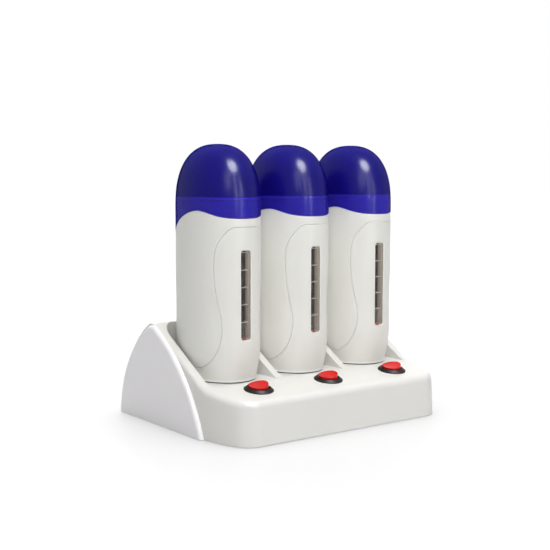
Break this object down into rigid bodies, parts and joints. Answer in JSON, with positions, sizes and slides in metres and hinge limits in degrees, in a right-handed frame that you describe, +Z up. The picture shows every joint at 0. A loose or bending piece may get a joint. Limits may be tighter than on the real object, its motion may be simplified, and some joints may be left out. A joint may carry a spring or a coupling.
{
  "type": "roll on wax heater",
  "caption": "Upright hand-held cartridge wax heaters with domed blue lift-off caps, standing in a white charging dock with a round red rocker switch for each.",
  "frame": {"origin": "centre of the dock's footprint, on the table under its rubber feet", "axes": "+Z up, +X along the row of heaters, -Y towards the switches and the user"},
  "size_m": [0.211, 0.161, 0.2131],
  "materials": {
    "casing_plastic": "satin",
    "cap_plastic": "gloss",
    "clear_plastic": "clear gloss",
    "chamber_aluminium": "drawn sheet",
    "heater_ceramic": "bare",
    "thermostat_plastic": "matte",
    "board_laminate": "matte",
    "lamp_plastic": "clear gloss",
    "contact_brass": "turned",
    "screw_steel": "zinc plated",
    "dock_plastic": "satin",
    "cheek_plastic": "satin",
    "foot_rubber": "matte",
    "switch_plastic": "gloss",
    "rocker_plastic": "gloss",
    "block_plastic": "matte",
    "pin_plating": "nickel plated"
  },
  "bodies": {
    "base": {"base_top_shell": "dock_plastic", "base_bottom_plate": "dock_plastic", "side_cheek_left": "cheek_plastic", "side_cheek_right": "cheek_plastic", "rubber_feet": "foot_rubber", "base_screws": "screw_steel", "switch_body_1": "switch_plastic", "contact_block_1": "block_plastic", "switch_body_2": "switch_plastic", "contact_block_2": "block_plastic", "switch_body_3": "switch_plastic", "contact_block_3": "block_plastic", "power_inlet": "block_plastic", "inlet_pins": "pin_plating"},
    "handheld_1": {"rear_shell_1": "casing_plastic", "front_cover_1": "casing_plastic", "window_lens_1": "clear_plastic", "heating_chamber_1": "chamber_aluminium", "ptc_heater_1": "heater_ceramic", "thermostat_1": "thermostat_plastic", "terminal_board_1": "board_laminate", "indicator_lamp_1": "lamp_plastic", "contact_discs_1": "contact_brass", "case_screws_1": "screw_steel"},
    "cap_1": {"cap_1": "cap_plastic"},
    "rocker_1": {"switch_rocker_1": "rocker_plastic"},
    "contact_left_1": {"contact_pin_1_left": "contact_brass"},
    "contact_right_1": {"contact_pin_1_right": "contact_brass"},
    "handheld_2": {"rear_shell_2": "casing_plastic", "front_cover_2": "casing_plastic", "window_lens_2": "clear_plastic", "heating_chamber_2": "chamber_aluminium", "ptc_heater_2": "heater_ceramic", "thermostat_2": "thermostat_plastic", "terminal_board_2": "board_laminate", "indicator_lamp_2": "lamp_plastic", "contact_discs_2": "contact_brass", "case_screws_2": "screw_steel"},
    "cap_2": {"cap_2": "cap_plastic"},
    "rocker_2": {"switch_rocker_2": "rocker_plastic"},
    "contact_left_2": {"contact_pin_2_left": "contact_brass"},
    "contact_right_2": {"contact_pin_2_right": "contact_brass"},
    "handheld_3": {"rear_shell_3": "casing_plastic", "front_cover_3": "casing_plastic", "window_lens_3": "clear_plastic", "heating_chamber_3": "chamber_aluminium", "ptc_heater_3": "heater_ceramic", "thermostat_3": "thermostat_plastic", "terminal_board_3": "board_laminate", "indicator_lamp_3": "lamp_plastic", "contact_discs_3": "contact_brass", "case_screws_3": "screw_steel"},
    "cap_3": {"cap_3": "cap_plastic"},
    "rocker_3": {"switch_rocker_3": "rocker_plastic"},
    "contact_left_3": {"contact_pin_3_left": "contact_brass"},
    "contact_right_3": {"contact_pin_3_right": "contact_brass"}
  },
  "joints": [
    {"name": "handheld_lift_1", "type": "slide", "parent": "base", "child": "handheld_1", "axis": [0, 0, 1], "range_m": [0, 0.11]},
    {"name": "cap_lift_1", "type": "slide", "parent": "handheld_1", "child": "cap_1", "axis": [0, 0, 1], "range_m": [0, 0.1]},
    {"name": "rocker_tip_1", "type": "hinge", "parent": "base", "child": "rocker_1", "pos_m": [-0.065, -0.056, 0.0353], "axis": [0, 0.9917, 0.1288], "range_deg": [0, 16]},
    {"name": "contact_left_press_1", "type": "slide", "parent": "base", "child": "contact_left_1", "axis": [0, 0, 1], "range_m": [-0.0015, 0], "stiffness_N_per_m": 100, "springref_m": 0.003},
    {"name": "contact_right_press_1", "type": "slide", "parent": "base", "child": "contact_right_1", "axis": [0, 0, 1], "range_m": [-0.0015, 0], "stiffness_N_per_m": 100, "springref_m": 0.003},
    {"name": "handheld_lift_2", "type": "slide", "parent": "base", "child": "handheld_2", "axis": [0, 0, 1], "range_m": [0, 0.11]},
    {"name": "cap_lift_2", "type": "slide", "parent": "handheld_2", "child": "cap_2", "axis": [0, 0, 1], "range_m": [0, 0.1]},
    {"name": "rocker_tip_2", "type": "hinge", "parent": "base", "child": "rocker_2", "pos_m": [0, -0.056, 0.0353], "axis": [0, 0.9917, 0.1288], "range_deg": [0, 16]},
    {"name": "contact_left_press_2", "type": "slide", "parent": "base", "child": "contact_left_2", "axis": [0, 0, 1], "range_m": [-0.0015, 0], "stiffness_N_per_m": 100, "springref_m": 0.003},
    {"name": "contact_right_press_2", "type": "slide", "parent": "base", "child": "contact_right_2", "axis": [0, 0, 1], "range_m": [-0.0015, 0], "stiffness_N_per_m": 100, "springref_m": 0.003},
    {"name": "handheld_lift_3", "type": "slide", "parent": "base", "child": "handheld_3", "axis": [0, 0, 1], "range_m": [0, 0.11]},
    {"name": "cap_lift_3", "type": "slide", "parent": "handheld_3", "child": "cap_3", "axis": [0, 0, 1], "range_m": [0, 0.1]},
    {"name": "rocker_tip_3", "type": "hinge", "parent": "base", "child": "rocker_3", "pos_m": [0.065, -0.056, 0.0353], "axis": [0, 0.9917, 0.1288], "range_deg": [0, 16]},
    {"name": "contact_left_press_3", "type": "slide", "parent": "base", "child": "contact_left_3", "axis": [0, 0, 1], "range_m": [-0.0015, 0], "stiffness_N_per_m": 100, "springref_m": 0.003},
    {"name": "contact_right_press_3", "type": "slide", "parent": "base", "child": "contact_right_3", "axis": [0, 0, 1], "range_m": [-0.0015, 0], "stiffness_N_per_m": 100, "springref_m": 0.003}
  ]
}
